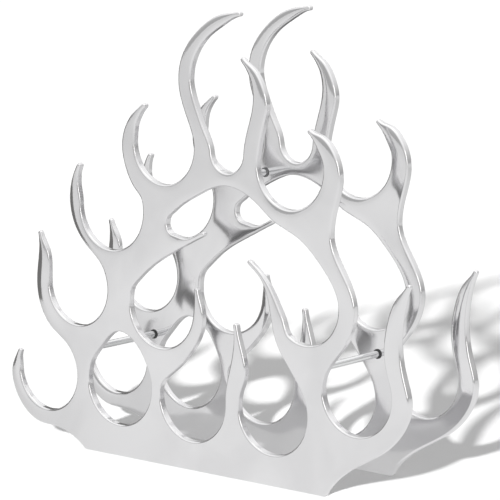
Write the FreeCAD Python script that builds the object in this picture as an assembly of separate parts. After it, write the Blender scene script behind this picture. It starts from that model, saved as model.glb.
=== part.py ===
"""Flame wine rack: two cast panels held a bottle's length apart by tie rods.

The rack stands on the flat base edges of its panels.  +Z is up and the
panels lie in XZ planes.  The origin is on the floor, half way along the rack
and half way between its panels.  All sizes are in millimetres.
"""

import FreeCAD, Part
import math
import os
from collections import namedtuple

# ---------------------------------------------------------------- overall
PANEL_LENGTH = 576.0      # across the outermost horns
PANEL_HEIGHT = 512.0      # floor to the top of the tallest horn
PANEL_THICKNESS = 10.0
PANEL_GAP = 110.0         # clear distance between the two panels

# ---------------------------------------------------------------- castings
BOTTLE_PLACE_RADIUS = 46.0
TIP_RADIUS = 2.5          # blunt end of every horn
EDGE_ROUND = 2.0          # polished edge on both faces

# ---------------------------------------------------------------- tie rods
ROD_DIAMETER = 8.0
ROD_END_CHAMFER = 0.6
STUD_DIAMETER = 5.0
FRONT_SKIN = 2.5          # metal left in front of the blind holes
STUD_DEPTH_IN_ROD = 12.0
STUD_END_CHAMFER = 0.5
CUSHION_DIAMETER = 11.0   # soft washer between a rod's end and its panel
CUSHION_THICKNESS = 1.0
CUSHION_EDGE_CHAMFER = 0.2
THREAD_CLEARANCE = 0.1    # radial, stud or screw in its tapped hole
HOLE_BOTTOM_CLEARANCE = 0.5  # beyond the end of a stud or screw
SCREW_HOLE_CLEARANCE = 0.25  # radial, screw through the rear panel

# ---------------------------------------------------------------- screws
SCREW_HEAD_DIAMETER = 9.5
SCREW_HEAD_HEIGHT = 2.8
SCREW_HEAD_ROUND = 1.6
SOCKET_ACROSS_FLATS = 3.0
SOCKET_DEPTH = 1.6
WASHER_DIAMETER = 11.0
WASHER_THICKNESS = 1.0
WASHER_EDGE_CHAMFER = 0.2
COUNTERBORE_CLEARANCE = 0.5  # radial, round the washer
HEAD_RECESS = 0.4            # screw head below the panel's back

# The outline is drawn on a sheet measured from the left foot, and then
# stretched to the panel's length and height.  On the sheet it reaches:
SHEET_LEFT = -119.0
SHEET_RIGHT = 457.0
SHEET_TOP = 512.0
SHEET_FOOT = 345.0        # the right foot
X_STRETCH = PANEL_LENGTH / (SHEET_RIGHT - SHEET_LEFT)
Z_STRETCH = PANEL_HEIGHT / SHEET_TOP

# Places of the tie rods on the sheet, each in the middle of a broad web.
ROD_PLACES = {
    "left": (-2.0, 117.0),
    "right": (327.0, 135.0),
    "top": (167.0, 323.0),
}

# An outline is a ring of anchors joined by smooth curves.  It runs with the
# metal on its right: round a Place (a circular seat) counter-clockwise from
# one angle to another, round the blunt end of a Horn, or through a Foot
# corner.  "via" holds the shape points of the curve that follows the anchor.
Place = namedtuple("Place", "x z radius start end via")
Horn = namedtuple("Horn", "x z heading via")
Foot = namedtuple("Foot", "x z arrive leave via")

SEAT = BOTTLE_PLACE_RADIUS

# Depths along Y, from the front panel's face to the rear panel's back.
FRONT_PANEL_BACK = -PANEL_GAP / 2
FRONT_PANEL_FACE = FRONT_PANEL_BACK - PANEL_THICKNESS
REAR_PANEL_FACE = PANEL_GAP / 2
REAR_PANEL_BACK = REAR_PANEL_FACE + PANEL_THICKNESS
ROD_FRONT = FRONT_PANEL_BACK + CUSHION_THICKNESS
ROD_REAR = REAR_PANEL_FACE - CUSHION_THICKNESS
HEAD_SEAT = REAR_PANEL_BACK - HEAD_RECESS - SCREW_HEAD_HEIGHT
WASHER_SEAT = HEAD_SEAT - WASHER_THICKNESS

# The splines are solved by repeated sweeps, then simplified within a tolerance.
SPLINE_SWEEPS = 60
SPLINE_TOLERANCE = 0.001

OUTER_RIM = [
    Foot(0, 0, 180, 148,
         [(-20, 12), (-48, 20), (-78, 23), (-101, 37), (-116, 60), (-119, 80)]),
    Horn(-106, 104, 62, []),
    Place(-60, 85, SEAT, 180, 402, [(-56, 138), (-71, 160), (-77, 188), (-74, 220)]),
    Horn(-73, 247, 105, [(-60, 226)]),
    Place(-12, 190, SEAT, 180, 408, [(3, 237), (-14, 256), (-23, 284), (-19, 313)]),
    Horn(-8, 330, 60, [(-10, 305)]),
    Place(41, 284, SEAT + 2, 180, 375, [(78, 308), (64, 330), (58, 356), (63, 378), (75, 394)]),
    Horn(91, 404, 45, [(78, 380)]),
    Place(120, 361, SEAT - 2, 175, 380,
          [(150, 402), (142, 432), (149, 465), (170, 490), (198, 507)]),
    Horn(229, 510, 8, [(206, 498), (184, 484), (165, 461), (159, 433), (166, 409),
                       (178, 383)]),
    Place(211, 360, 23, 185, 357, [(240, 388), (247, 418), (242, 443)]),
    Horn(230, 463, 133, [(247, 453), (260, 435), (266, 414), (261, 390)]),
    Place(298, 350, SEAT - 1, 170, 368, [(337, 369)]),
    Horn(322, 392, 142, [(338, 388), (356, 373), (365, 346), (357, 308), (354, 276),
                         (368, 247), (385, 208), (376, 173), (355, 146)]),
    Place(389, 118, SEAT, 175, 364, [(429, 142), (424, 168), (428, 200), (439, 225)]),
    Horn(455, 241, 62, [(448, 214), (444, 180), (450, 143), (457, 112), (447, 84),
                        (427, 62), (386, 37), (362, 20)]),
    Foot(SHEET_FOOT, 0, 238, 180, []),
]

PEAR_WINDOW = [
    Place(52, 84.5, SEAT + 2, 160, 384, [(80, 130), (50, 144), (22, 122)]),
]

BRANCHED_WINDOW = [
    Place(135, 274.5, 12, 125, 262, [(150, 260)]),
    Horn(177, 268, 25, [(141, 247), (104, 226), (80, 206)]),
    Place(115, 180, SEAT + 1, 165, 355, []),
    Horn(165, 206, 98, [(174, 184), (175, 166), (158, 133), (130, 106)]),
    Place(160.5, 81, SEAT + 2, 175, 363, [(214, 120)]),
    Horn(221, 173, 99, [(232, 142), (236, 117)]),
    Place(275, 83, SEAT + 2, 172, 388, [(298, 133), (281, 157), (271, 190), (258, 225)]),
    Horn(239, 244, 146, [(267, 223), (282, 199), (290, 183)]),
    Place(321, 204.5, SEAT - 3, 238, 375,
          [(351, 237), (333, 257), (309, 276), (275, 291), (250, 309), (207, 323),
           (163, 307), (142, 295)]),
]


# ---------------------------------------------------------------- outline
def on_sheet(x, z):
    """Point of the panel that a point of the sheet is stretched to."""
    from_middle = x - (SHEET_LEFT + SHEET_RIGHT) / 2
    return FreeCAD.Vector(from_middle * X_STRETCH, 0, z * Z_STRETCH)


def heading(angle):
    """Unit vector in the panel's plane, counter-clockwise from +X."""
    turn = math.radians(angle)
    return FreeCAD.Vector(math.cos(turn), 0, math.sin(turn))


def arc_through(centre, radius, start, end):
    """Circular edge round a centre, between two angles."""
    middle = (start + end) / 2
    ends = [centre + heading(angle) * radius for angle in (start, middle, end)]
    return Part.Arc(*ends).toShape(), ends[0], ends[2]


def anchor_edge(anchor):
    """Own edge of an anchor, with the points and directions where it meets the curves."""
    centre = on_sheet(anchor.x, anchor.z)
    if isinstance(anchor, Place):
        edge, first, last = arc_through(centre, anchor.radius, anchor.start, anchor.end)
        return edge, first, heading(anchor.start + 90), last, heading(anchor.end + 90)
    if isinstance(anchor, Horn):
        ahead = heading(anchor.heading)
        middle = centre - ahead * TIP_RADIUS
        edge, first, last = arc_through(middle, TIP_RADIUS, anchor.heading + 90,
                                        anchor.heading - 90)
        return edge, first, ahead, last, -ahead
    return None, centre, heading(anchor.arrive), centre, heading(anchor.leave)


def smooth_curve(points, first_direction, last_direction):
    """Cubic spline through the points that leaves and arrives in the given directions."""
    steps = [(end - start).Length for start, end in zip(points, points[1:])]
    inner = range(1, len(points) - 1)
    speeds = [FreeCAD.Vector(first_direction)] + [FreeCAD.Vector() for _ in inner]
    speeds.append(FreeCAD.Vector(last_direction))
    for _ in range(SPLINE_SWEEPS):
        for i in inner:
            before, after = steps[i - 1], steps[i]
            chords = ((points[i + 1] - points[i]) * (3 * before / after)
                      + (points[i] - points[i - 1]) * (3 * after / before))
            neighbours = speeds[i - 1] * after + speeds[i + 1] * before
            speeds[i] = (chords - neighbours) * (0.5 / (before + after))
    poles = [points[0]]
    knots = [0.0]
    for i, step in enumerate(steps):
        poles.append(points[i] + speeds[i] * (step / 3))
        poles.append(points[i + 1] - speeds[i + 1] * (step / 3))
        poles.append(points[i + 1])
        knots.append(knots[-1] + step)
    repeats = [4] + [3] * len(inner) + [4]
    curve = Part.BSplineCurve()
    curve.buildFromPolesMultsKnots(poles, repeats, knots, False, 3)
    for i in inner:
        curve.removeKnot(i + 1, 1, SPLINE_TOLERANCE)
    return curve.toShape()


def ring(anchors):
    """Closed wire round the anchors, in order."""
    edges = []
    for index, anchor in enumerate(anchors):
        following = anchors[(index + 1) % len(anchors)]
        own_edge, _, _, leaves_at, leaves_along = anchor_edge(anchor)
        _, meets_at, meets_along, _, _ = anchor_edge(following)
        if own_edge:
            edges.append(own_edge)
        if isinstance(anchor, Foot) and isinstance(following, Foot):
            edges.append(Part.LineSegment(leaves_at, meets_at).toShape())
            continue
        via = [on_sheet(x, z) for x, z in anchor.via]
        points = [leaves_at] + via + [meets_at]
        edges.append(smooth_curve(points, leaves_along, meets_along))
    return Part.Wire(edges)


# ---------------------------------------------------------------- solids
def cylinder(place, radius, y_start, y_end):
    """Round bar along Y at a rod's place, between two depths."""
    base = on_sheet(*place)
    base.y = y_start
    return Part.makeCylinder(radius, y_end - y_start, base, FreeCAD.Vector(0, 1, 0))


def chamfered_cylinder(place, radius, y_start, y_end, chamfer):
    """Round bar along Y with both end edges broken."""
    bar = cylinder(place, radius, y_start, y_end)
    rims = [edge for edge in bar.Edges if edge.BoundBox.YLength < chamfer / 2]
    return bar.makeChamfer(chamfer, rims)


def panel_blank(y_front):
    """Casting without holes: the flame outline, its windows and rounded edges."""
    face = Part.Face([ring(OUTER_RIM), ring(PEAR_WINDOW), ring(BRANCHED_WINDOW)],
                     "Part::FaceMakerBullseye")
    blank = face.extrude(FreeCAD.Vector(0, PANEL_THICKNESS, 0))
    rims = [edge for edge in blank.Edges if edge.BoundBox.YLength < EDGE_ROUND / 2]
    rounded = blank.makeFillet(EDGE_ROUND, rims)
    rounded.translate(FreeCAD.Vector(0, y_front, 0))
    return rounded


def front_panel():
    """Casting with a blind tapped hole in its back for each stud."""
    panel = panel_blank(FRONT_PANEL_FACE)
    for place in ROD_PLACES.values():
        panel = panel.cut(cylinder(place, STUD_DIAMETER / 2 + THREAD_CLEARANCE,
                                   FRONT_PANEL_FACE + FRONT_SKIN, FRONT_PANEL_BACK))
    return panel


def rear_panel():
    """Same casting, drilled through and counterbored from behind for each screw."""
    panel = panel_blank(REAR_PANEL_FACE)
    for place in ROD_PLACES.values():
        hole = cylinder(place, STUD_DIAMETER / 2 + SCREW_HOLE_CLEARANCE,
                        REAR_PANEL_FACE, REAR_PANEL_BACK)
        counterbore = cylinder(place, WASHER_DIAMETER / 2 + COUNTERBORE_CLEARANCE,
                               WASHER_SEAT, REAR_PANEL_BACK)
        panel = panel.cut(hole).cut(counterbore)
    return panel


def tie_rod(place):
    """Bar between the panels, tapped at both ends."""
    rod = chamfered_cylinder(place, ROD_DIAMETER / 2, ROD_FRONT, ROD_REAR,
                             ROD_END_CHAMFER)
    bore = STUD_DIAMETER / 2 + THREAD_CLEARANCE
    depth = STUD_DEPTH_IN_ROD + HOLE_BOTTOM_CLEARANCE
    rod = rod.cut(cylinder(place, bore, ROD_FRONT, ROD_FRONT + depth))
    return rod.cut(cylinder(place, bore, ROD_REAR - depth, ROD_REAR))


def stud(place):
    """Threaded stud that joins the front panel to a rod."""
    tip = FRONT_PANEL_FACE + FRONT_SKIN + HOLE_BOTTOM_CLEARANCE
    return chamfered_cylinder(place, STUD_DIAMETER / 2, tip,
                              ROD_FRONT + STUD_DEPTH_IN_ROD, STUD_END_CHAMFER)


def ring_washer(place, diameter, y_start, y_end, chamfer):
    """Flat ring that a stud or screw passes through."""
    disc = chamfered_cylinder(place, diameter / 2, y_start, y_end, chamfer)
    return disc.cut(cylinder(place, STUD_DIAMETER / 2 + SCREW_HOLE_CLEARANCE,
                             y_start, y_end))


def hexagon_pocket(place, y_start, y_end):
    """Hexagonal prism along Y, for the key socket."""
    corner = SOCKET_ACROSS_FLATS / math.sqrt(3)
    centre = on_sheet(*place)
    centre.y = y_start
    corners = [centre + heading(60 * turn) * corner for turn in range(7)]
    return Part.Face(Part.makePolygon(corners)).extrude(
        FreeCAD.Vector(0, y_end - y_start, 0))


def screw(place):
    """Button-head screw through the rear panel into a rod."""
    top = HEAD_SEAT + SCREW_HEAD_HEIGHT
    head = cylinder(place, SCREW_HEAD_DIAMETER / 2, HEAD_SEAT, top)
    crown = [edge for edge in head.Edges if edge.BoundBox.YMin > top - SCREW_HEAD_ROUND / 2]
    head = head.makeFillet(SCREW_HEAD_ROUND, crown)
    shank = chamfered_cylinder(place, STUD_DIAMETER / 2, ROD_REAR - STUD_DEPTH_IN_ROD,
                               HEAD_SEAT + SOCKET_DEPTH / 2, STUD_END_CHAMFER)
    whole = head.fuse(shank).removeSplitter()
    return whole.cut(hexagon_pocket(place, top - SOCKET_DEPTH, top + SCREW_HEAD_HEIGHT))


def build():
    """Every piece of the rack, by node name."""
    pieces = {"front_panel": front_panel(), "rear_panel": rear_panel()}
    for side, place in ROD_PLACES.items():
        pieces["tie_rod_" + side] = tie_rod(place)
        pieces["front_stud_" + side] = stud(place)
        pieces["front_cushion_" + side] = ring_washer(
            place, CUSHION_DIAMETER, FRONT_PANEL_BACK, ROD_FRONT, CUSHION_EDGE_CHAMFER)
        pieces["rear_cushion_" + side] = ring_washer(
            place, CUSHION_DIAMETER, ROD_REAR, REAR_PANEL_FACE, CUSHION_EDGE_CHAMFER)
        pieces["rear_washer_" + side] = ring_washer(
            place, WASHER_DIAMETER, WASHER_SEAT, HEAD_SEAT, WASHER_EDGE_CHAMFER)
        pieces["rear_screw_" + side] = screw(place)
    return pieces


os.makedirs("parts", exist_ok=True)
for name, piece in build().items():
    piece.exportStep(os.path.join("parts", name + ".step"))
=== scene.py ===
import logging
import math
from dataclasses import dataclass, field
from enum import Enum

import bmesh
import bpy
import numpy as np
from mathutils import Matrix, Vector
from mathutils.geometry import delaunay_2d_cdt
from mathutils.kdtree import KDTree


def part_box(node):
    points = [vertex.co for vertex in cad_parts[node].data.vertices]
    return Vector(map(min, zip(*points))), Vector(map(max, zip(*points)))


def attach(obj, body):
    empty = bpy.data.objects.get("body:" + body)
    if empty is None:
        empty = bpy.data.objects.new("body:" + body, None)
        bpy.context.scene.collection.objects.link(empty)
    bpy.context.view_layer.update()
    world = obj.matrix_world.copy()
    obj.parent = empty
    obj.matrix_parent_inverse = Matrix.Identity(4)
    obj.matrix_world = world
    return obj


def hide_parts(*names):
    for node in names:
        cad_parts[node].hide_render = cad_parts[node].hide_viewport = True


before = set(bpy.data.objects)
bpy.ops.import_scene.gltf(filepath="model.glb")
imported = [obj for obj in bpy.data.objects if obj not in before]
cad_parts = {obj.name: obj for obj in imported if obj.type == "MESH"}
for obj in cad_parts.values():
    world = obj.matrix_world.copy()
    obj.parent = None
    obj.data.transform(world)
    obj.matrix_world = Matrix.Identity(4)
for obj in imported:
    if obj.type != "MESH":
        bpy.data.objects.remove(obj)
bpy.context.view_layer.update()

LOG = logging.getLogger("wine_rack")
MM = 0.001
BODY = "root"
SIDES = ("left", "right", "top")
EDGE_ROUND = 2.0    # radius of the panels' rounded edges, in mm
OUTLINE_STEP = 1.8  # longest spacing of points along the outline, in mm
Colour = tuple[float, float, float] | bpy.types.NodeSocket


class Fastening(Enum):
    """How a rod is fastened at a panel, which sets the holes in that panel."""

    BLIND_STUD = "blind stud"
    THROUGH_SCREW = "through screw"


# ---------------------------------------------------------------- shared helpers


def new_object(name: str, data: bpy.types.ID) -> bpy.types.Object:
    """Put a mesh, lamp or camera into the scene at the origin.

    Args:
        name: The object's name.
        data: What it holds.

    Returns:
        The new object.
    """
    made = bpy.data.objects.new(name, data)
    bpy.context.scene.collection.objects.link(made)
    return made


def turn_outwards(mesh: bpy.types.Mesh, weld: float = 0.0) -> None:
    """Merge a mesh's doubles and face it outwards.

    Args:
        mesh: The mesh, changed in place.
        weld: Points closer than this become one, in metres; 0 merges none.
    """
    shell = bmesh.new()
    shell.from_mesh(mesh)
    if weld:
        bmesh.ops.remove_doubles(shell, verts=shell.verts, dist=weld)
    bmesh.ops.recalc_face_normals(shell, faces=shell.faces)
    shell.to_mesh(mesh)
    shell.free()


class Tree:
    """A short way to add and join nodes in one node tree."""

    def __init__(self, tree: bpy.types.NodeTree) -> None:
        """Keep the tree that nodes go into."""
        self.tree = tree

    def add(self, kind: str, values: dict[str | int, object] | None = None,
            **settings: object) -> bpy.types.Node:
        """Add a node.

        Args:
            kind: The node's type name.
            values: What its inputs get, as feed takes it.
            **settings: Attributes set on the node.

        Returns:
            The new node.
        """
        node = self.tree.nodes.new(kind)
        for name, value in settings.items():
            setattr(node, name, value)
        self.feed(node, values or {})
        return node

    def feed(self, node: bpy.types.Node, values: dict[str | int, object]) -> None:
        """Fill a node's inputs.

        Args:
            node: The node.
            values: By the input's name or number, a socket to link, a number, a vector,
                or a colour's red, green and blue.
        """
        for name, value in values.items():
            socket = node.inputs[name]
            if isinstance(value, bpy.types.NodeSocket):
                self.tree.links.new(value, socket)
            elif socket.type == "RGBA":
                socket.default_value = (*value, 1.0)
            else:
                socket.default_value = value

    def math(self, operation: str, *values: object, clamp: bool = False) -> bpy.types.NodeSocket:
        """Work out a value from sockets and numbers with a Math node."""
        numbered = dict(enumerate(values))
        return self.add("ShaderNodeMath", numbered, operation=operation, use_clamp=clamp).outputs[0]

    def ramp(self, value: bpy.types.NodeSocket, low: float, high: float) -> bpy.types.NodeSocket:
        """Rise softly from 0 to 1.

        Args:
            value: What it follows.
            low: Where it leaves 0.
            high: Where it reaches 1.

        Returns:
            The result.
        """
        node = self.add("ShaderNodeMapRange", {"Value": value, "From Min": low, "From Max": high},
                        interpolation_type="SMOOTHSTEP")
        return node.outputs[0]

    def tint(self, amount: bpy.types.NodeSocket, low: Colour, high: Colour
             ) -> bpy.types.NodeSocket:
        """Mix two colours.

        Args:
            amount: 0 gives low and 1 gives high.
            low: First colour.
            high: Second colour.

        Returns:
            The mixed colour.
        """
        first, second, mixed = 6, 7, 2  # the colour sockets of a Mix node
        node = self.add("ShaderNodeMix", {0: amount, first: low, second: high}, data_type="RGBA")
        return node.outputs[mixed]


def grey(level: float) -> tuple[float, float, float]:
    """A grey of one level."""
    return (level, level, level)


# ---------------------------------------------------------------- finishes


def new_group(name: str, sizes: dict[str, float], result: str
              ) -> tuple[Tree, bpy.types.NodeOutputs, bpy.types.Node]:
    """Start a shader node group that reads coordinates and puts out one value.

    Args:
        name: The group's name.
        sizes: Default value by input name.
        result: Name of its output.

    Returns:
        The helper that fills it, what its inputs give, and its Group Output node.
    """
    group = bpy.data.node_groups.new(name, "ShaderNodeTree")
    group.interface.new_socket("Vector", in_out="INPUT", socket_type="NodeSocketVector")
    for label, value in sizes.items():
        socket = group.interface.new_socket(label, in_out="INPUT", socket_type="NodeSocketFloat")
        socket.default_value = value
    group.interface.new_socket(result, in_out="OUTPUT", socket_type="NodeSocketFloat")
    t = Tree(group)
    return t, t.add("NodeGroupInput").outputs, t.add("NodeGroupOutput")


def buffing_group() -> bpy.types.NodeTree:
    """Fine parallel lines that a buffing wheel leaves, stretched along X of the input.

    Returns:
        A group that puts out Lines, a value from 0 to 1.
    """
    t, given, sink = new_group("buffing_lines", {"Scale": 900.0, "Stretch": 0.03}, "Lines")
    shape = t.add("ShaderNodeCombineXYZ", {0: given["Stretch"], 1: 1.0, 2: 1.0})
    stretch = t.add("ShaderNodeVectorMath", {0: given["Vector"], 1: shape.outputs[0]},
                    operation="MULTIPLY")
    noise = t.add("ShaderNodeTexNoise", {"Vector": stretch.outputs[0], "Scale": given["Scale"],
                                         "Detail": 3.0, "Roughness": 0.6})
    t.feed(sink, {"Lines": noise.outputs["Fac"]})
    return t.tree


def cloud_group() -> bpy.types.NodeTree:
    """Broad soft patches where the polish is a little duller.

    Returns:
        A group that puts out Clouds, a value from 0 to 1.
    """
    t, given, sink = new_group("polish_clouds", {"Scale": 12.0}, "Clouds")
    noise = t.add("ShaderNodeTexNoise", {"Vector": given["Vector"], "Scale": given["Scale"],
                                         "Detail": 4.0, "Distortion": 0.6})
    thin, thick = 0.3, 0.7
    t.feed(sink, {"Clouds": t.ramp(noise.outputs["Fac"], thin, thick)})
    return t.tree


def speck_group() -> bpy.types.NodeTree:
    """Sparse specks: casting pits in metal, or grit in rubber.

    Returns:
        A group that puts out Specks, 1 in a speck and 0 elsewhere.
    """
    t, given, sink = new_group("specks", {"Scale": 300.0, "Size": 0.12, "Share": 0.1}, "Specks")
    cells = t.add("ShaderNodeTexVoronoi", {"Vector": given["Vector"], "Scale": given["Scale"]})
    crispness = 12.0
    near = t.math("SUBTRACT", given["Size"], cells.outputs["Distance"])
    dot = t.math("MULTIPLY", near, crispness, clamp=True)
    split = t.add("ShaderNodeSeparateColor", {0: cells.outputs["Color"]})
    kept = t.math("LESS_THAN", split.outputs[0], given["Share"])
    t.feed(sink, {"Specks": t.math("MULTIPLY", dot, kept)})
    return t.tree


@dataclass(frozen=True)
class Effects:
    """The shader groups that the finishes share."""

    buffing: bpy.types.NodeTree
    clouds: bpy.types.NodeTree
    specks: bpy.types.NodeTree


def place_group(t: Tree, group: bpy.types.NodeTree, vector: bpy.types.NodeSocket,
                **values: float) -> bpy.types.NodeSocket:
    """Put a shared group into a material, with values for its named inputs."""
    return t.add("ShaderNodeGroup", {"Vector": vector, **values}, node_tree=group).outputs[0]


def empty_material(name: str) -> tuple[bpy.types.Material, Tree, bpy.types.Node]:
    """Start a material that holds nothing but its output.

    Args:
        name: The material's name.

    Returns:
        The material, its tree helper and its output node.
    """
    material = bpy.data.materials.new(name)
    material.use_nodes = True
    material.node_tree.nodes.clear()
    t = Tree(material.node_tree)
    return material, t, t.add("ShaderNodeOutputMaterial")


def start_material(name: str) -> tuple[bpy.types.Material, Tree, bpy.types.Node]:
    """Start a material with one Principled shader.

    Args:
        name: The material's name.

    Returns:
        The material, its tree helper and the shader node.
    """
    material, t, sink = empty_material(name)
    shader = t.add("ShaderNodeBsdfPrincipled")
    t.feed(sink, {"Surface": shader.outputs[0]})
    return material, t, shader


@dataclass(frozen=True)
class Metal:
    """A worked metal finish: buffing lines, soft clouds and a few pits.

    Bright and smooth are the polish at its best, and dull and rough are where it is worn.
    """

    name: str
    bright: tuple[float, float, float]
    dull: tuple[float, float, float]
    smooth: float
    rough: float
    line_scale: float
    line_stretch: float
    line_depth: float
    turn: tuple[float, float, float] = (0.0, 0.0, 0.0)
    pit_share: float = 0.06
    edge_wear: float = 0.0
    cloud_scale: float = 11.0
    cloud_dulling: float = 0.7
    line_roughness: float = 0.04
    pit_scale: float = 260.0
    pit_size: float = 0.13
    pit_roughness: float = 0.25
    pit_depth: float = 3.0
    relief: float = 0.00002

    def make(self, effects: Effects) -> bpy.types.Material:
        """Build the material.

        Args:
            effects: The shared groups.

        Returns:
            The finished material.
        """
        material, t, shader = start_material(self.name)
        place = t.add("ShaderNodeTexCoord").outputs["Object"]
        turned = t.add("ShaderNodeMapping", {"Vector": place, "Rotation": self.turn})
        lines = place_group(t, effects.buffing, turned.outputs[0],
                            Scale=self.line_scale, Stretch=self.line_stretch)
        clouds = place_group(t, effects.clouds, place, Scale=self.cloud_scale)
        pits = place_group(t, effects.specks, place, Scale=self.pit_scale,
                           Size=self.pit_size, Share=self.pit_share)
        rough = t.math("MULTIPLY_ADD", clouds, self.rough - self.smooth, self.smooth)
        rough = t.math("MULTIPLY_ADD", lines, self.line_roughness, rough)
        rough = t.math("MULTIPLY_ADD", pits, self.pit_roughness, rough)
        if self.edge_wear:
            rim = t.add("ShaderNodeAttribute", attribute_name="rim").outputs["Fac"]
            rough = t.math("MULTIPLY_ADD", rim, self.edge_wear, rough)
        worn = t.math("ADD", t.math("MULTIPLY", clouds, self.cloud_dulling), pits, clamp=True)
        height = t.math("MULTIPLY_ADD", pits, -self.pit_depth, lines)
        bump = t.add("ShaderNodeBump", {"Height": height, "Strength": self.line_depth,
                                        "Distance": self.relief})
        t.feed(shader, {"Base Color": t.tint(worn, self.bright, self.dull), "Metallic": 1.0,
                        "Roughness": rough, "Normal": bump.outputs[0]})
        return material


@dataclass(frozen=True)
class Rubber:
    """Matte moulded rubber with a fine grit and a little bloom."""

    name: str = "black_rubber_finish"
    fresh: tuple[float, float, float] = (0.045, 0.045, 0.046)
    bloomed: tuple[float, float, float] = (0.07, 0.07, 0.072)
    smooth: float = 0.42
    bloom_roughness: float = 0.15
    bloom_scale: float = 180.0
    grit_scale: float = 2200.0
    grit_size: float = 0.3
    grit_share: float = 0.5
    grit_strength: float = 0.4
    relief: float = 0.00005

    def make(self, effects: Effects) -> bpy.types.Material:
        """Build the material.

        Args:
            effects: The shared groups.

        Returns:
            The finished material.
        """
        material, t, shader = start_material(self.name)
        place = t.add("ShaderNodeTexCoord").outputs["Object"]
        bloom = place_group(t, effects.clouds, place, Scale=self.bloom_scale)
        grit = place_group(t, effects.specks, place, Scale=self.grit_scale,
                           Size=self.grit_size, Share=self.grit_share)
        rough = t.math("MULTIPLY_ADD", bloom, self.bloom_roughness, self.smooth)
        bump = t.add("ShaderNodeBump", {"Height": grit, "Strength": self.grit_strength,
                                        "Distance": self.relief})
        t.feed(shader, {"Base Color": t.tint(bloom, self.fresh, self.bloomed),
                        "Roughness": rough, "Normal": bump.outputs[0]})
        return material


# ---------------------------------------------------------------- the castings


@dataclass
class Outline:
    """The panels' outline: closed loops of points with unit normals into the metal."""

    points: list[np.ndarray]
    inward: list[np.ndarray]
    tree: KDTree = field(init=False)
    flat_points: np.ndarray = field(init=False)
    flat_inward: np.ndarray = field(init=False)

    def __post_init__(self) -> None:
        """Index every point, so that the nearest one is quick to find."""
        self.flat_points = np.vstack(self.points)
        self.flat_inward = np.vstack(self.inward)
        self.tree = KDTree(len(self.flat_points))
        for i, (x, z) in enumerate(self.flat_points):
            self.tree.insert((x, z, 0.0), i)
        self.tree.balance()

    def depth(self, spots: np.ndarray) -> np.ndarray:
        """How far spots lie inside the metal.

        Args:
            spots: An array of x and z, in mm.

        Returns:
            The distance to the outline, below zero outside the metal.
        """
        near = np.array([self.tree.find((x, z, 0.0))[1] for x, z in spots])
        way = spots - self.flat_points[near]
        side = np.sign(np.sum(way * self.flat_inward[near], axis=1))
        return np.linalg.norm(way, axis=1) * np.where(side == 0, 1, side)

    def tips(self) -> np.ndarray:
        """Where the horns end: the outline's tightest outward bends.

        Returns:
            One point for each horn.
        """
        tightest = 0.25  # turn of the normal for each mm along the outline
        foot = 5.0       # the base's corners, below this height, aren't horns
        apart = 12.0     # bends further apart than this belong to two horns
        sharp = []
        for points, inward in zip(self.points, self.inward):
            step = np.linalg.norm(np.roll(points, -1, 0) - points, axis=1)
            turn = np.linalg.norm(np.roll(inward, -1, 0) - inward, axis=1)
            tight = (turn / step > tightest) & (points[:, 1] > foot)
            sharp += list(points[tight])
        groups: list[list[np.ndarray]] = []
        for spot in sharp:
            for group in groups:
                if np.linalg.norm(group[0] - spot) < apart:
                    group.append(spot)
                    break
            else:
                groups.append([spot])
        return np.array([np.mean(group, axis=0) for group in groups])


def read_outline(node: bpy.types.Object, plane: float, step: float) -> Outline:
    """Read a panel's outline from its CAD node, where its wall meets its rounded edge.

    Args:
        node: The CAD node.
        plane: Y of that line, in mm.
        step: Longest spacing of the points, in mm.

    Returns:
        The outline with the metal on its inner side.
    """
    weld = 1e-6        # in metres, for the CAD mesh's doubles
    off_plane = 0.002  # in mm
    shell = bmesh.new()
    shell.from_mesh(node.data)
    bmesh.ops.remove_doubles(shell, verts=shell.verts, dist=weld)
    joined: dict[int, list[int]] = {}
    where: dict[int, tuple[float, float]] = {}
    for edge in shell.edges:
        if all(abs(v.co.y / MM - plane) < off_plane for v in edge.verts):
            a, b = edge.verts
            joined.setdefault(a.index, []).append(b.index)
            joined.setdefault(b.index, []).append(a.index)
            for v in (a, b):
                where[v.index] = (v.co.x / MM, v.co.z / MM)
    shell.free()
    loops = []
    left = set(joined)
    while left:
        start = min(left)
        walk, last, here = [start], None, start
        while True:
            ahead = [k for k in joined[here] if k != last]
            last, here = here, ahead[0]
            if here == start:
                break
            walk.append(here)
        left -= set(walk)
        loops.append(np.array([where[k] for k in walk]))
    loops.sort(key=lambda loop: -abs(signed_area(loop)))
    points, inward = [], []
    for i, loop in enumerate(loops):
        if (signed_area(loop) > 0) != (i == 0):
            loop = loop[::-1]
        p, n = smooth_loop(loop, step)
        points.append(p)
        inward.append(n)
    return Outline(points, inward)


def signed_area(loop: np.ndarray) -> float:
    """Area inside a loop, above zero when it runs anticlockwise."""
    x, z = loop[:, 0], loop[:, 1]
    return float(np.sum(x * np.roll(z, -1) - np.roll(x, -1) * z) / 2)


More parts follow.
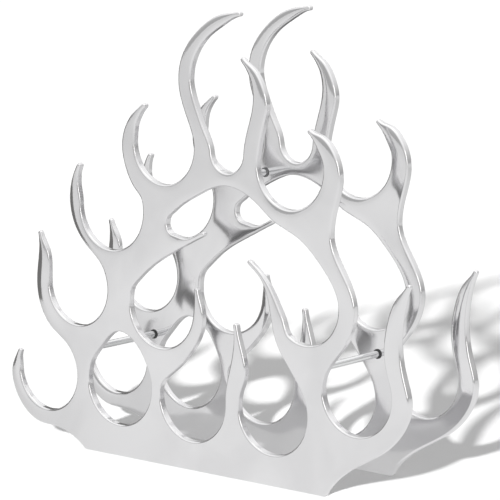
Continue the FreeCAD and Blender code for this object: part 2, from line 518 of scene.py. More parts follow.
def smooth_loop(loop: np.ndarray, step: float) -> tuple[np.ndarray, np.ndarray]:
    """Run a smooth curve through a loop's points and space new points along it.

    Args:
        loop: Closed loop with the metal on its left.
        step: Longest spacing, in mm.

    Returns:
        The new points and their unit normals into the metal.
    """
    long_run = 12.0  # longer runs are straight, in mm
    bend_step = math.radians(8.0)
    passes = 14      # of evening out the normals
    ahead = np.roll(loop, -1, 0) - loop
    length = np.linalg.norm(ahead, axis=1)
    unit = ahead / length[:, None]
    before, size_before = np.roll(unit, 1, 0), np.roll(length, 1)
    tangent = unit * size_before[:, None] + before * length[:, None]
    straight = length > long_run
    tangent[straight] = unit[straight]
    after = np.roll(straight, 1)
    tangent[after] = before[after]
    tangent /= np.linalg.norm(tangent, axis=1)[:, None]
    points, normals = [], []
    for i in range(len(loop)):
        j = (i + 1) % len(loop)
        a, b = loop[i], loop[j]
        m0, m1 = tangent[i] * length[i], tangent[j] * length[i]
        bend = math.acos(float(np.clip(tangent[i] @ tangent[j], -1, 1)))
        count = max(math.ceil(length[i] / step), math.ceil(bend / bend_step), 1)
        u = (np.arange(count) / count)[:, None]
        if straight[i]:
            spot, way = a + u * ahead[i], np.repeat(unit[i][None], count, 0)
        else:
            spot = ((2 * u**3 - 3 * u**2 + 1) * a + (u**3 - 2 * u**2 + u) * m0
                    + (3 * u**2 - 2 * u**3) * b + (u**3 - u**2) * m1)
            way = ((6 * u**2 - 6 * u) * (a - b) + (3 * u**2 - 4 * u + 1) * m0
                   + (3 * u**2 - 2 * u) * m1)
        way = way / np.linalg.norm(way, axis=1)[:, None]
        points.append(spot)
        normals.append(np.column_stack([-way[:, 1], way[:, 0]]))
    inward = np.vstack(normals)
    for _ in range(passes):
        inward = np.roll(inward, 1, 0) + 2 * inward + np.roll(inward, -1, 0)
        inward /= np.linalg.norm(inward, axis=1)[:, None]
    return np.vstack(points), inward


@dataclass
class Relief:
    """Height of one hand-ground face, on a grid, in mm above the panel's middle."""

    outline: Outline
    seats: np.ndarray
    half_thickness: float
    seed: int
    web_drop: float = 0.08
    horn_drop: float = 2.0
    web_shoulder: float = 4.0
    horn_shoulder: float = 11.0
    horn_reach: float = 80.0
    shoulder_power: float = 1.35
    seat_flat: float = 7.0
    seat_blend: float = 30.0
    wave_height: float = 0.2
    wave_count: int = 14
    shortest_wave: float = 55.0
    longest_wave: float = 150.0
    blur: float = 1.3
    crowns: tuple[float, ...] = (0.9, 1.0, 0.4, 0.35, 0.6, 0.4, 0.5, 0.45, 0.7, 0.9, 0.5, 1.0)
    pitch: float = 1.5
    height: np.ndarray = field(init=False)
    low: np.ndarray = field(init=False)

    def __post_init__(self) -> None:
        """Work the face out over the whole grid."""
        margin = 8.0
        outside = -3.0  # the slope of a shoulder runs on this far past the outline
        self.low = self.outline.flat_points.min(0) - margin
        high = self.outline.flat_points.max(0) + margin
        xs = np.arange(self.low[0], high[0], self.pitch)
        zs = np.arange(self.low[1], high[1], self.pitch)
        gx, gz = np.meshgrid(xs, zs, indexing="ij")
        spots = np.column_stack([gx.ravel(), gz.ravel()])
        deep = np.maximum(self.outline.depth(spots).reshape(gx.shape), outside)
        horn = np.zeros_like(gx)
        tips = self.outline.tips()
        tips = tips[np.argsort(tips[:, 0])]
        for (x, z), crown in zip(tips, self.crowns, strict=True):
            gap = np.hypot(gx - x, gz - z) / self.horn_reach
            horn = np.maximum(horn, crown * np.exp(-gap**2))
        drop = self.web_drop + (self.horn_drop - self.web_drop) * horn
        shoulder = self.web_shoulder + (self.horn_shoulder - self.web_shoulder) * horn
        fall = drop * np.clip(1 - deep / shoulder, 0, None) ** self.shoulder_power
        fall = fall + self.waves(gx, gz)
        for x, z in self.seats:
            away = (np.hypot(gx - x, gz - z) - self.seat_flat) / self.seat_blend
            away = np.clip(away, 0, 1)
            fall = fall * (away * away * (3 - 2 * away))
        self.height = self.half_thickness - soften(fall, self.blur)

    def waves(self, gx: np.ndarray, gz: np.ndarray) -> np.ndarray:
        """Low waves that grinding by hand leaves, as much above the face as below it.

        Args:
            gx: X of the grid.
            gz: Z of the grid.

        Returns:
            How far the face lies below flat, in mm.
        """
        draw = np.random.default_rng(self.seed)
        total = np.zeros_like(gx)
        for _ in range(self.wave_count):
            angle, phase = draw.uniform(0, 2 * math.pi, 2)
            span = draw.uniform(self.shortest_wave, self.longest_wave)
            total += np.cos((gx * math.cos(angle) + gz * math.sin(angle))
                            * 2 * math.pi / span + phase)
        total /= math.sqrt(self.wave_count / 2)
        highest = 2  # in units of the waves' usual height
        return self.wave_height * np.clip(total, -highest, highest) / highest

    def at(self, spots: np.ndarray) -> tuple[np.ndarray, np.ndarray]:
        """Height and slope of the face.

        Args:
            spots: An array of x and z, in mm.

        Returns:
            The heights, and the slopes along x and z.
        """
        slope_x, slope_z = np.gradient(self.height, self.pitch)
        place = (spots - self.low) / self.pitch
        cell = np.floor(place).astype(int)
        f = place - cell
        i, j = cell[:, 0], cell[:, 1]

        def read(grid: np.ndarray) -> np.ndarray:
            """Blend the four grid values around each spot.

            Args:
                grid: The values.

            Returns:
                One value for each spot.
            """
            return (grid[i, j] * (1 - f[:, 0]) * (1 - f[:, 1])
                    + grid[i + 1, j] * f[:, 0] * (1 - f[:, 1])
                    + grid[i, j + 1] * (1 - f[:, 0]) * f[:, 1]
                    + grid[i + 1, j + 1] * f[:, 0] * f[:, 1])

        return read(self.height), np.column_stack([read(slope_x), read(slope_z)])


def soften(grid: np.ndarray, spread: float) -> np.ndarray:
    """Blur a grid evenly.

    Args:
        grid: Values.
        spread: Width of the blur, in cells.

    Returns:
        The blurred values.
    """
    reach = math.ceil(spread * 3)
    weight = np.exp(-np.arange(-reach, reach + 1) ** 2 / (2 * spread**2))
    weight /= weight.sum()
    for axis in (0, 1):
        pad = [(0, 0), (0, 0)]
        pad[axis] = (reach, reach)
        wide = np.pad(grid, pad, mode="edge")
        size = grid.shape[axis]
        grid = sum(w * np.take(wide, range(k, k + size), axis=axis)
                   for k, w in enumerate(weight))
    return grid


def metal_side(triangles: list[tuple[int, ...]], origin: list[int],
               edges: list[tuple[int, int]], boundary: int) -> list[tuple[int, ...]]:
    """Keep the triangles in the metal by spreading from its inner points.

    Args:
        triangles: Triangles over the whole outline.
        origin: The first point that each vertex came from.
        edges: The boundary edges, which the spread doesn't cross.
        boundary: How many of the points lie on the boundary.

    Returns:
        The triangles on the metal's side of every boundary edge.
    """
    walls = {frozenset(edge) for edge in edges}
    beside: dict[frozenset, list[int]] = {}
    sides = []
    for i, t in enumerate(triangles):
        named = [origin[k] for k in t]
        rim = [frozenset((named[k], named[k - 1])) for k in range(3)]
        sides.append(rim)
        for edge in rim:
            beside.setdefault(edge, []).append(i)
    spread = [i for i, t in enumerate(triangles) if any(origin[k] >= boundary for k in t)]
    kept = set(spread)
    while spread:
        for edge in sides[spread.pop()]:
            if edge in walls:
                continue
            for i in beside[edge]:
                if i not in kept:
                    kept.add(i)
                    spread.append(i)
    return [triangles[i] for i in sorted(kept)]


@dataclass
class CastPanel:
    """One flame-shaped casting, rebuilt with softly ground faces.

    Sizes are in mm, and a hole's size is its radius.
    """

    node: str
    outline: Outline
    seats: np.ndarray
    fastening: Fastening
    seeds: tuple[int, int]
    waves: tuple[float, float]
    edge_round: float = EDGE_ROUND
    round_steps: int = 7
    grid_step: float = 3.0
    screw_hole: float = 2.75
    counterbore: float = 6.0
    counterbore_depth: float = 4.2
    counterbore_chamfer: float = 0.3
    tapped_hole: float = 2.6
    tapped_depth: float = 7.5
    bore_sides: int = 64
    rim_hold: float = 0.05
    chamfer_hold: float = 0.02
    edge_clearance: float = 1.5
    hole_clearance: float = 1.2
    verts: list[tuple[float, float, float]] = field(default_factory=list)
    normals: list[tuple[float, float, float]] = field(default_factory=list)
    rims: list[float] = field(default_factory=list)
    faces: list[tuple[int, ...]] = field(default_factory=list)

    def put(self, place: np.ndarray, normal: np.ndarray, rim: float) -> int:
        """Add vertices in a row.

        Args:
            place: Points, in mm.
            normal: Their outward normals.
            rim: 1 on the rounded edge and wall, 0 on a face.

        Returns:
            The index of the first.
        """
        first = len(self.verts)
        self.verts += [tuple(p * MM) for p in place]
        length = np.linalg.norm(normal, axis=1)[:, None]
        self.normals += [tuple(n) for n in normal / length]
        self.rims += [rim] * len(place)
        return first

    def band(self, first: int, second: int, count: int) -> None:
        """Join two rings of vertices with quads.

        Args:
            first: The first vertex of one ring.
            second: The first vertex of the other.
            count: How many vertices each ring has.
        """
        for k in range(count):
            m = (k + 1) % count
            self.faces.append((first + k, first + m, second + m, second + k))

    def edge(self, middle: float, reliefs: dict[int, Relief]) -> dict[int, list[int]]:
        """Make the wall and both rounded edges along every loop.

        Args:
            middle: Y of the panel's middle, in mm.
            reliefs: The two faces, by side: -1 in front and 1 behind.

        Returns:
            The first vertex of each loop's face boundary, by side.
        """
        rows: dict[int, list[int]] = {-1: [], 1: []}
        for points, inward in zip(self.outline.points, self.outline.inward):
            count = len(points)
            start: dict[int, list[int]] = {}
            for side in (-1, 1):
                brink = points + inward * self.edge_round
                top, slope = reliefs[side].at(brink)
                flat = np.column_stack([-slope[:, 0], np.full(count, side), -slope[:, 1]])
                out = np.column_stack([-inward[:, 0], np.zeros(count), -inward[:, 1]])
                start[side] = []
                for k in range(self.round_steps + 1):
                    angle = math.pi / 2 * k / self.round_steps
                    inset = self.edge_round * (1 - math.sin(angle))
                    sink = self.edge_round * (1 - math.cos(angle))
                    spot = points + inward * inset
                    place = np.column_stack([spot[:, 0], middle + side * (top - sink),
                                             spot[:, 1]])
                    normal = flat * math.cos(angle) + out * math.sin(angle)
                    start[side].append(self.put(place, normal, k / self.round_steps))
                for a, b in zip(start[side], start[side][1:]):
                    self.band(a, b, count)
                rows[side].append(start[side][0])
            self.band(start[-1][-1], start[1][-1], count)
        return rows

    def circle(self, seat: np.ndarray, radius: float) -> np.ndarray:
        """Points of a circle about a seat.

        Args:
            seat: Its centre, x and z in mm.
            radius: Its radius, in mm.

        Returns:
            An array of x and z, in mm.
        """
        angle = np.arange(self.bore_sides) * 2 * math.pi / self.bore_sides
        return np.column_stack([seat[0] + radius * np.cos(angle),
                                seat[1] + radius * np.sin(angle)])

    def ring(self, seat: np.ndarray, radius: float, y: float,
             normal: tuple[float, float]) -> int:
        """Add one ring of a bore.

        Args:
            seat: Its centre, x and z in mm.
            radius: Its radius, in mm.
            y: Its depth, in mm.
            normal: Outward parts of the normal along the radius and along Y.

        Returns:
            The first vertex.
        """
        spot = self.circle(seat, radius)
        ray = (spot - seat) / radius
        place = np.column_stack([spot[:, 0], np.full(len(spot), y), spot[:, 1]])
        way = np.column_stack([ray[:, 0] * normal[0], np.full(len(spot), normal[1]),
                               ray[:, 1] * normal[0]])
        return self.put(place, way, 0.0)

    def bore(self, seat: np.ndarray, front: float, back: float) -> dict[int, tuple[int, float]]:
        """Make the hole at one seat.

        Args:
            seat: Its centre, x and z in mm.
            front: Y of the panel's front face, in mm.
            back: Y of its back face, in mm.

        Returns:
            The first vertex and the radius of the hole's rim, by side.
        """
        hold = self.rim_hold
        # Each row is a radius, a depth, and the normal along the radius and along Y.
        if self.fastening is Fastening.BLIND_STUD:
            floor = back - self.tapped_depth
            rows = [self.ring(seat, *row) for row in (
                (self.tapped_hole, back, (0.0, 1.0)),
                (self.tapped_hole, back - hold, (-1.0, 0.0)),
                (self.tapped_hole, floor, (-1.0, 0.0)),
                (self.tapped_hole - hold, floor, (0.0, 1.0)),
            )]
            rims = {1: (rows[0], self.tapped_hole)}
        else:
            shelf = back - self.counterbore_depth
            wide = self.counterbore + self.counterbore_chamfer
            corner = self.chamfer_hold
            rows = [self.ring(seat, *row) for row in (
                (self.screw_hole, front, (0.0, -1.0)),
                (self.screw_hole, front + hold, (-1.0, 0.0)),
                (self.screw_hole, shelf - hold, (-1.0, 0.0)),
                (self.screw_hole, shelf, (0.0, 1.0)),
                (self.counterbore - hold, shelf, (0.0, 1.0)),
                (self.counterbore, shelf, (-1.0, 0.0)),
                (self.counterbore, back - self.counterbore_chamfer, (-1.0, 0.3)),
                (wide - corner, back - corner, (-0.7, 0.7)),
                (wide, back, (0.0, 1.0)),
            )]
            rims = {-1: (rows[0], self.screw_hole), 1: (rows[-1], wide)}
        for a, b in zip(rows, rows[1:]):
            self.band(a, b, self.bore_sides)
        if self.fastening is Fastening.BLIND_STUD:
            self.faces.append(tuple(range(rows[-1], rows[-1] + self.bore_sides)))
        return rims

    def face(self, side: int, middle: float, relief: Relief, starts: list[int],
             rims: list[tuple[np.ndarray, int, float]]) -> None:
        """Fill one face between its boundary loops and its holes.

        Args:
            side: -1 in front and 1 behind.
            middle: Y of the panel's middle, in mm.
            relief: The face's height.
            starts: First vertex of each boundary loop.
            rims: Seat, first vertex and radius of each hole.
        """
        ids: list[int] = []
        edges: list[tuple[int, int]] = []
        loops = [(s, len(p)) for s, p in zip(starts, self.outline.points)]
        loops += [(first, self.bore_sides) for _, first, _ in rims]
        for first, count in loops:
            base = len(ids)
            ids += range(first, first + count)
            edges += [(base + k, base + (k + 1) % count) for k in range(count)]
        low = self.outline.flat_points.min(0)
        high = self.outline.flat_points.max(0)
        row_step = self.grid_step * math.sqrt(3) / 2
        spots = []
        for r, z in enumerate(np.arange(low[1], high[1], row_step)):
            shift = self.grid_step / 2 if r % 2 else 0.0
            xs = np.arange(low[0] + shift, high[0], self.grid_step)
            spots.append(np.column_stack([xs, np.full(len(xs), z)]))
        grid = np.vstack(spots)
        grid = grid[self.outline.depth(grid) > self.edge_round + self.edge_clearance]
        for seat, _, radius in rims:
            grid = grid[np.linalg.norm(grid - seat, axis=1) > radius + self.hole_clearance]
        height, slope = relief.at(grid)
        place = np.column_stack([grid[:, 0], middle + side * height, grid[:, 1]])
        normal = np.column_stack([-slope[:, 0], np.full(len(grid), side), -slope[:, 1]])
        first = self.put(place, normal, 0.0)
        ids += range(first, first + len(grid))
        flat = [Vector((self.verts[i][0] / MM, self.verts[i][2] / MM)) for i in ids]
        fill_inside, nearest = 1, 1e-6
        out = delaunay_2d_cdt(flat, edges, [], fill_inside, nearest)
        triangles, origin = out[2], [old[0] for old in out[3]]
        for t in metal_side(triangles, origin, edges, len(ids) - len(grid)):
            self.faces.append(tuple(ids[origin[k]] for k in t))

    def build(self) -> bpy.types.Object:
        """Make the panel's mesh.

        Returns:
            The new object, at the origin with its place in its mesh.
        """
        low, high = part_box(self.node)
        front, back = low.y / MM, high.y / MM
        middle, half = (front + back) / 2, (back - front) / 2
        reliefs = {side: Relief(self.outline, self.seats, half, seed, wave_height=wave)
                   for side, seed, wave in zip((-1, 1), self.seeds, self.waves)}
        starts = self.edge(middle, reliefs)
        rims: dict[int, list[tuple[np.ndarray, int, float]]] = {-1: [], 1: []}
        for seat in self.seats:
            for side, (first, radius) in self.bore(seat, front, back).items():
                rims[side].append((seat, first, radius))
        for side in (-1, 1):
            self.face(side, middle, reliefs[side], starts[side], rims[side])
        mesh = bpy.data.meshes.new(self.node + "_ground")
        mesh.from_pydata(self.verts, [], self.faces)
        turn_outwards(mesh)
        mesh.polygons.foreach_set("use_smooth", [True] * len(mesh.polygons))
        rim = mesh.attributes.new("rim", "FLOAT", "POINT")
        rim.data.foreach_set("value", self.rims)
        mesh.normals_split_custom_set_from_vertices(self.normals)
        return new_object(self.node + "_ground", mesh)

    def dress(self, piece: bpy.types.Object, finish: bpy.types.Material) -> None:
        """Give the panel its finish and let it stand for its CAD node.

        Args:
            piece: The panel.
            finish: The polished casting.
        """
        piece.data.materials.append(finish)
        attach(piece, BODY)
        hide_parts(self.node)
        LOG.info("%s: %d faces", piece.name, len(piece.data.polygons))


# ---------------------------------------------------------------- repeated pieces


@dataclass
class Repeated:
    """A small turned piece set at several places by a Geometry Nodes tree."""

    name: str
    nodes: tuple[str, ...]
    slot: str
    spots: list[Vector]
    weld: float = 1e-7

    def run(self, tree: bpy.types.NodeTree, values: dict[str, float],
            finish: bpy.types.Material) -> None:
        """Apply the tree to the places and keep the plain mesh.

        Args:
            tree: The Geometry Nodes tree.
            values: Its inputs by name.
            finish: The material.
        """
        seed_mesh = bpy.data.meshes.new(self.name + "_places")
        seed_mesh.from_pydata([tuple(s) for s in self.spots], [], [])
        maker = new_object(self.name + "_maker", seed_mesh)
        modifier = maker.modifiers.new("make", "NODES")
        modifier.node_group = tree
        names = {item.name: item.identifier for item in tree.interface.items_tree
                 if item.item_type == "SOCKET" and item.in_out == "INPUT"}
        for label, value in values.items():
            modifier[names[label]] = value
        modifier[names["Finish"]] = finish
        graph = bpy.context.evaluated_depsgraph_get()
        mesh = bpy.data.meshes.new_from_object(maker.evaluated_get(graph))
        maker.modifiers.remove(modifier)
        bpy.data.objects.remove(maker)
        mesh.name = self.name
        turn_outwards(mesh, self.weld)
        piece = new_object(self.name, mesh)
        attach(piece, BODY)
        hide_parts(*self.nodes)
        LOG.info("%s: %d faces", self.name, len(mesh.polygons))


def geometry_tree(name: str, sizes: dict[str, float]) -> tuple[Tree, bpy.types.NodeOutputs]:
    """Start a Geometry Nodes tree with sizes as named inputs.

    Args:
        name: The tree's name.
        sizes: Default value by input name.

    Returns:
        The tree's helper and what its inputs give.
    """
    tree = bpy.data.node_groups.new(name, "GeometryNodeTree")
    tree.interface.new_socket("Geometry", in_out="INPUT", socket_type="NodeSocketGeometry")
    for label, value in sizes.items():
        socket = tree.interface.new_socket(label, in_out="INPUT", socket_type="NodeSocketFloat")
        socket.default_value = value
    tree.interface.new_socket("Finish", in_out="INPUT", socket_type="NodeSocketMaterial")
    tree.interface.new_socket("Geometry", in_out="OUTPUT", socket_type="NodeSocketGeometry")
    t = Tree(tree)
    return t, t.add("NodeGroupInput").outputs


def close_tree(t: Tree, given: bpy.types.NodeOutputs, shape: bpy.types.NodeSocket) -> None:
    """Set a shape at every place, then realize it and give it its material.

    Args:
        t: The tree's helper.
        given: What its inputs give.
        shape: The mesh to repeat.
    """
    points = t.add("GeometryNodeMeshToPoints", {"Mesh": given["Geometry"]})
    smooth = t.add("GeometryNodeSetShadeSmooth", {"Geometry": shape})
    copies = t.add("GeometryNodeInstanceOnPoints", {"Points": points.outputs[0],
                                                    "Instance": smooth.outputs[0]})
    real = t.add("GeometryNodeRealizeInstances", {0: copies.outputs[0]})
    paint = t.add("GeometryNodeSetMaterial", {"Geometry": real.outputs[0],
                                              "Material": given["Finish"]})
    t.add("NodeGroupOutput", {0: paint.outputs[0]})


def rod_tree() -> bpy.types.NodeTree:
    """A round bar along Y with a small chamfer at each end.

    Returns:
        The Geometry Nodes tree.
    """
    t, given = geometry_tree("tie_rod_maker",
                             {"Radius": 0.004, "Length": 0.108, "Chamfer": 0.0006})
    points_along, sides = 181, 56
    half = t.math("MULTIPLY", given["Length"], 0.5)
    start, end = (t.add("ShaderNodeCombineXYZ", {1: t.math("MULTIPLY", half, sign)}).outputs[0]
                  for sign in (-1.0, 1.0))
    line = t.add("GeometryNodeCurvePrimitiveLine", {"Start": start, "End": end})
    even = t.add("GeometryNodeResampleCurve", {"Curve": line.outputs[0], "Count": points_along})
    along = t.add("GeometryNodeSplineParameter").outputs["Length"]
    near_end = t.math("MINIMUM", along, t.math("SUBTRACT", given["Length"], along))
    cut = t.math("MAXIMUM", t.math("SUBTRACT", given["Chamfer"], near_end), 0.0)
    share = t.math("DIVIDE", t.math("SUBTRACT", given["Radius"], cut), given["Radius"])
    radius = t.add("GeometryNodeSetCurveRadius", {"Curve": even.outputs[0], "Radius": share})
    circle = t.add("GeometryNodeCurvePrimitiveCircle", {"Resolution": sides,
                                                        "Radius": given["Radius"]})
    body = t.add("GeometryNodeCurveToMesh", {"Curve": radius.outputs[0], "Fill Caps": True,
                                             "Profile Curve": circle.outputs[0]})
    close_tree(t, given, body.outputs[0])
    return t.tree


def ring_tree() -> bpy.types.NodeTree:
    """A flat ring about Y with softly rounded edges.

    Returns:
        The Geometry Nodes tree.
    """
    t, given = geometry_tree("cushion_maker", {"Outer": 0.0055, "Bore": 0.00275,
                                               "Thickness": 0.001, "Round": 0.0003})
    sides, corner_points = 64, 5
    middle = t.math("MULTIPLY", t.math("ADD", given["Outer"], given["Bore"]), 0.5)
    width = t.math("SUBTRACT", given["Outer"], given["Bore"])
    path = t.add("GeometryNodeCurvePrimitiveCircle", {"Resolution": sides, "Radius": middle})
    section = t.add("GeometryNodeCurvePrimitiveQuadrilateral", {"Width": width,
                                                                "Height": given["Thickness"]})
    soft = t.add("GeometryNodeFilletCurve", {"Curve": section.outputs[0], "Count": corner_points,
                                             "Radius": given["Round"]}, mode="POLY")
    body = t.add("GeometryNodeCurveToMesh", {"Curve": path.outputs[0],
                                             "Profile Curve": soft.outputs[0]})
    turned = t.add("GeometryNodeTransform", {"Geometry": body.outputs[0],
                                             "Rotation": (math.pi / 2, 0.0, 0.0)})
    close_tree(t, given, turned.outputs[0])
    return t.tree


def middle_of(node: str) -> Vector:
    """Middle of a CAD node's box."""
    low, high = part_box(node)
    return (low + high) / 2


@dataclass
class TieRods:
    """The three bars between the panels, sized in metres."""

    chamfer: float = 0.0006

    def build(self, finish: bpy.types.Material) -> None:
        """Make all three as one piece.

        Args:
            finish: The polished bar.
        """
        names = tuple("tie_rod_" + side for side in SIDES)
        low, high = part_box(names[0])
        sizes = {"Radius": (high.x - low.x) / 2, "Length": high.y - low.y,
                 "Chamfer": self.chamfer}
        rods = Repeated("tie_rods", names, "polished_bar", [middle_of(n) for n in names])
        rods.run(rod_tree(), sizes, finish)


@dataclass
class Cushions:
    """The soft black washers at both ends of every rod, sized in metres."""

    bore: float = 0.00275
    edge_round: float = 0.0003

    def build(self, finish: bpy.types.Material) -> None:
        """Make all six as one piece.

        Args:
            finish: The rubber.
        """
        names = tuple(end + "_cushion_" + side for side in SIDES for end in ("front", "rear"))
        low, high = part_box(names[0])
        sizes = {"Outer": (high.x - low.x) / 2, "Bore": self.bore,
                 "Thickness": high.y - low.y, "Round": self.edge_round}
        rings = Repeated("cushions", names, "black_rubber", [middle_of(n) for n in names])
        rings.run(ring_tree(), sizes, finish)


@dataclass
class Fasteners:
    """Studs, steel washers and screws, whose CAD shapes are already right."""

    kinds: tuple[str, ...] = ("front_stud_", "rear_washer_", "rear_screw_")

    def dress(self, finish: bpy.types.Material) -> None:
        """Give each CAD node the turned steel finish.

        Args:
            finish: The steel.
        """
        for kind in self.kinds:
            for side in SIDES:
                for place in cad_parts[kind + side].material_slots:
                    place.material = finish
                LOG.info("%s%s: steel finish", kind, side)


# ---------------------------------------------------------------- studio


@dataclass
class Studio:
    """Pale floor, one sun, and soft light boxes that only show in the metal.

    Places and sizes are in metres. A tone named in_metal is what the metal mirrors, where the
    tone beside it is what lights the rack and is seen.
    """

    camera_place: tuple[float, float, float] = (1.9112, -2.2793, 0.7164)
    camera_aim: tuple[float, float, float] = (0.0755, -0.065, 0.25695)
    lens: float = 194.69
    sensor: float = 36.0
    view_reach: float = 100.0
    floor_reach: float = 14.0
    floor_white: float = 0.9
    floor_in_metal: float = 0.82
    far_in_metal: float = 0.70
    far_from: float = 0.3
    far_to: float = 4.0
    # Painted shade: the tone, direction and spread of a dark patch on the floor behind the left
    # end, which only the metal sees.
    painted_shade_in_metal: float = 0.12
    painted_shade_way: tuple[float, float, float] = (-0.65, 0.76, 0.0)
    painted_shade_from: float = -0.1
    painted_shade_to: float = 0.9
    even_in_metal: float = 0.6
    sky: float = 0.5
    sky_in_metal: float = 1.1
    low_in_metal: float = 0.4
    sky_from: float = -0.1
    sky_to: float = 0.75
    sun_from: tuple[float, float, float] = (0.96, -2.33, 1.0)
    sun_power: float = 5.7
    sun_spread: float = 2.2
    card_aim: tuple[float, float, float] = (0.0, 0.0, 0.25)
    card_colour: tuple[float, float, float] = (1.0, 0.99, 0.97)
    cards: tuple = (
        ("card_left", (-0.80, 0.06, 0.27), (1.3, 0.54), 0.19),
        ("box_right", (2.0, -0.5, 0.8), (0.7, 1.0), 2.6),
        ("box_top", (0.2, 0.6, 2.4), (1.5, 1.5), 1.7),
    )

    def plane(self, name: str, corners: list[tuple[float, float, float]]
              ) -> tuple[bpy.types.Object, Tree, bpy.types.Node]:
        """Make a four-cornered sheet that isn't part of the rack.

        Args:
            name: Its name.
            corners: Its corners in order, in metres.

        Returns:
            The object, its material's tree helper and its material's output node.
        """
        mesh = bpy.data.meshes.new(name)
        mesh.from_pydata(corners, [], [(0, 1, 2, 3)])
        material, t, sink = empty_material(name)
        mesh.materials.append(material)
        plane = new_object(name, mesh)
        return plane, t, sink

    def card(self, name: str, centre: tuple[float, float, float], size: tuple[float, float],
             glow: float) -> None:
        """Stand a glowing card that faces the rack and only shows in the metal.

        Args:
            name: Its name.
            centre: Its middle, in metres.
            size: Width and height, in metres.
            glow: Its brightness.
        """
        way = (Vector(self.card_aim) - Vector(centre)).normalized()
        side = way.cross(Vector((0, 0, 1))).normalized()
        up = side.cross(way)
        w, h = size[0] / 2, size[1] / 2
        corners = [tuple(Vector(centre) + side * a * w + up * b * h)
                   for a, b in ((-1, -1), (1, -1), (1, 1), (-1, 1))]
        card, t, sink = self.plane(name, corners)
        lamp = t.add("ShaderNodeEmission", {"Color": self.card_colour, "Strength": glow})
        t.feed(sink, {"Surface": lamp.outputs[0]})
        card.visible_camera = False
        card.visible_diffuse = False
        card.visible_shadow = False

    def floor(self) -> None:
        """Lay the pale floor, which the metal sees darker, with painted shade behind the left end.
        """
        r = self.floor_reach
        _, t, sink = self.plane("floor", [(-r, -r, 0), (r, -r, 0), (r, r, 0), (-r, r, 0)])
        place = t.add("ShaderNodeTexCoord").outputs["Object"]
        gap = t.add("ShaderNodeVectorMath", {0: place}, operation="LENGTH")
        far = t.ramp(gap.outputs["Value"], self.far_from, self.far_to)
        front = t.tint(far, grey(self.floor_in_metal), grey(self.far_in_metal))
        # Painted shade seen only in the metal: a dark patch on the floor behind the left end, near
        # the rack, that darkens the panels' reflections as shade between them would.
        reach = t.add("ShaderNodeVectorMath", {0: place, 1: self.painted_shade_way},
                      operation="DOT_PRODUCT")
        behind = t.ramp(reach.outputs["Value"], self.painted_shade_from, self.painted_shade_to)
        painted_shade = t.math("MULTIPLY", behind, t.math("SUBTRACT", 1.0, far))
        mirrored = t.tint(painted_shade, front, grey(self.painted_shade_in_metal))
        # The metal sees the floor partly as an even glow and partly as the lit matte floor; both
        # carry the painted shade patch.
        glossy = t.add("ShaderNodeLightPath").outputs["Is Glossy Ray"]
        seen = t.tint(glossy, grey(self.floor_white), mirrored)
        matte = t.add("ShaderNodeBsdfDiffuse", {"Color": seen})
        even = t.add("ShaderNodeEmission", {"Color": mirrored})
        blend = t.add("ShaderNodeMixShader", {0: t.math("MULTIPLY", glossy, self.even_in_metal),
                                              1: matte.outputs[0], 2: even.outputs[0]})
        t.feed(sink, {"Surface": blend.outputs[0]})

    def sun(self) -> None:
        """Light the rack from in front, a little soft at the shadow's edge."""
        data = bpy.data.lights.new("key", "SUN")
        data.energy = self.sun_power
        data.angle = math.radians(self.sun_spread)
        lamp = new_object("key", data)
        lamp.visible_glossy = False
        lamp.rotation_euler = (-Vector(self.sun_from)).to_track_quat("-Z", "Y").to_euler()

    def air(self) -> bpy.types.World:
        """Make an even sky, which the metal sees as brighter overhead.

        Returns:
            The world.
        """
        world = bpy.data.worlds.new("sky")
        world.use_nodes = True
        t = Tree(world.node_tree)
        way = t.add("ShaderNodeTexCoord").outputs["Generated"]
        up = t.add("ShaderNodeSeparateXYZ", {0: way}).outputs["Z"]
        rise = t.ramp(up, self.sky_from, self.sky_to)
        glow = t.tint(rise, grey(self.low_in_metal), grey(self.sky_in_metal))
        glossy = t.add("ShaderNodeLightPath").outputs["Is Glossy Ray"]
        t.feed(world.node_tree.nodes["Background"],
               {"Color": t.tint(glossy, grey(self.sky), glow), "Strength": 1.0})
        return world

    def camera(self) -> None:
        """Set the camera up in front of the rack and to its right."""
        data = bpy.data.cameras.new("camera")
        data.lens = self.lens
        data.sensor_width = self.sensor
        data.clip_end = self.view_reach
        camera = new_object("camera", data)
        camera.location = self.camera_place
        way = Vector(self.camera_aim) - Vector(self.camera_place)
        camera.rotation_euler = way.to_track_quat("-Z", "Y").to_euler()
        bpy.context.scene.camera = camera

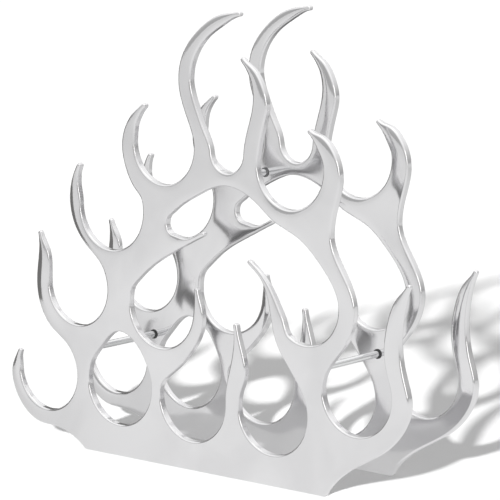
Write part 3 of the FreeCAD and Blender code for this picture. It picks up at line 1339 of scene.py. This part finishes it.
    def build(self) -> None:
        """Make the floor, the sun, the cards, the sky and the camera."""
        self.floor()
        self.sun()
        for card in self.cards:
            self.card(*card)
        bpy.context.scene.world = self.air()
        bpy.context.scene.view_settings.view_transform = "Standard"
        self.camera()
        LOG.info("studio: floor, sun, sky and %d cards", len(self.cards))


CASTING = Metal("polished_casting_finish", bright=(0.855, 0.852, 0.86), dull=(0.765, 0.762, 0.772),
                smooth=0.055, rough=0.10, line_scale=700.0, line_stretch=0.05,
                line_depth=0.05, turn=(0.0, 0.7, 0.0), pit_share=0.04, edge_wear=0.04)
BAR = Metal("polished_bar_finish", bright=(0.84, 0.845, 0.85), dull=(0.77, 0.775, 0.78),
            smooth=0.07, rough=0.12, line_scale=1400.0, line_stretch=0.02,
            line_depth=0.08, turn=(0.0, 0.0, math.pi / 2), pit_share=0.02)
STEEL = Metal("turned_steel_finish", bright=(0.62, 0.62, 0.63), dull=(0.5, 0.5, 0.51),
              smooth=0.2, rough=0.32, line_scale=2600.0, line_stretch=0.08,
              line_depth=0.25, pit_share=0.08)


def main() -> None:
    """Build the rack piece by piece, then the studio around it."""
    logging.basicConfig(level=logging.INFO, format="%(name)s: %(message)s")
    effects = Effects(buffing_group(), cloud_group(), speck_group())
    casting = CASTING.make(effects)
    rods = [middle_of("tie_rod_" + side) / MM for side in SIDES]
    seats = np.array([[rod.x, rod.z] for rod in rods])
    front_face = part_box("front_panel")[0].y / MM
    outline = read_outline(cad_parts["front_panel"], front_face + EDGE_ROUND, OUTLINE_STEP)
    LOG.info("outline: %d points, %d horns", len(outline.flat_points), len(outline.tips()))
    panels = (CastPanel("front_panel", outline, seats, Fastening.BLIND_STUD,
                        seeds=(11, 12), waves=(0.2, 0.3)),
              CastPanel("rear_panel", outline, seats, Fastening.THROUGH_SCREW,
                        seeds=(23, 24), waves=(0.5, 0.2)))
    for panel in panels:
        panel.dress(panel.build(), casting)
    TieRods().build(BAR.make(effects))
    Cushions().build(Rubber().make(effects))
    Fasteners().dress(STEEL.make(effects))
    Studio().build()


if __name__ == "__main__":
    main()
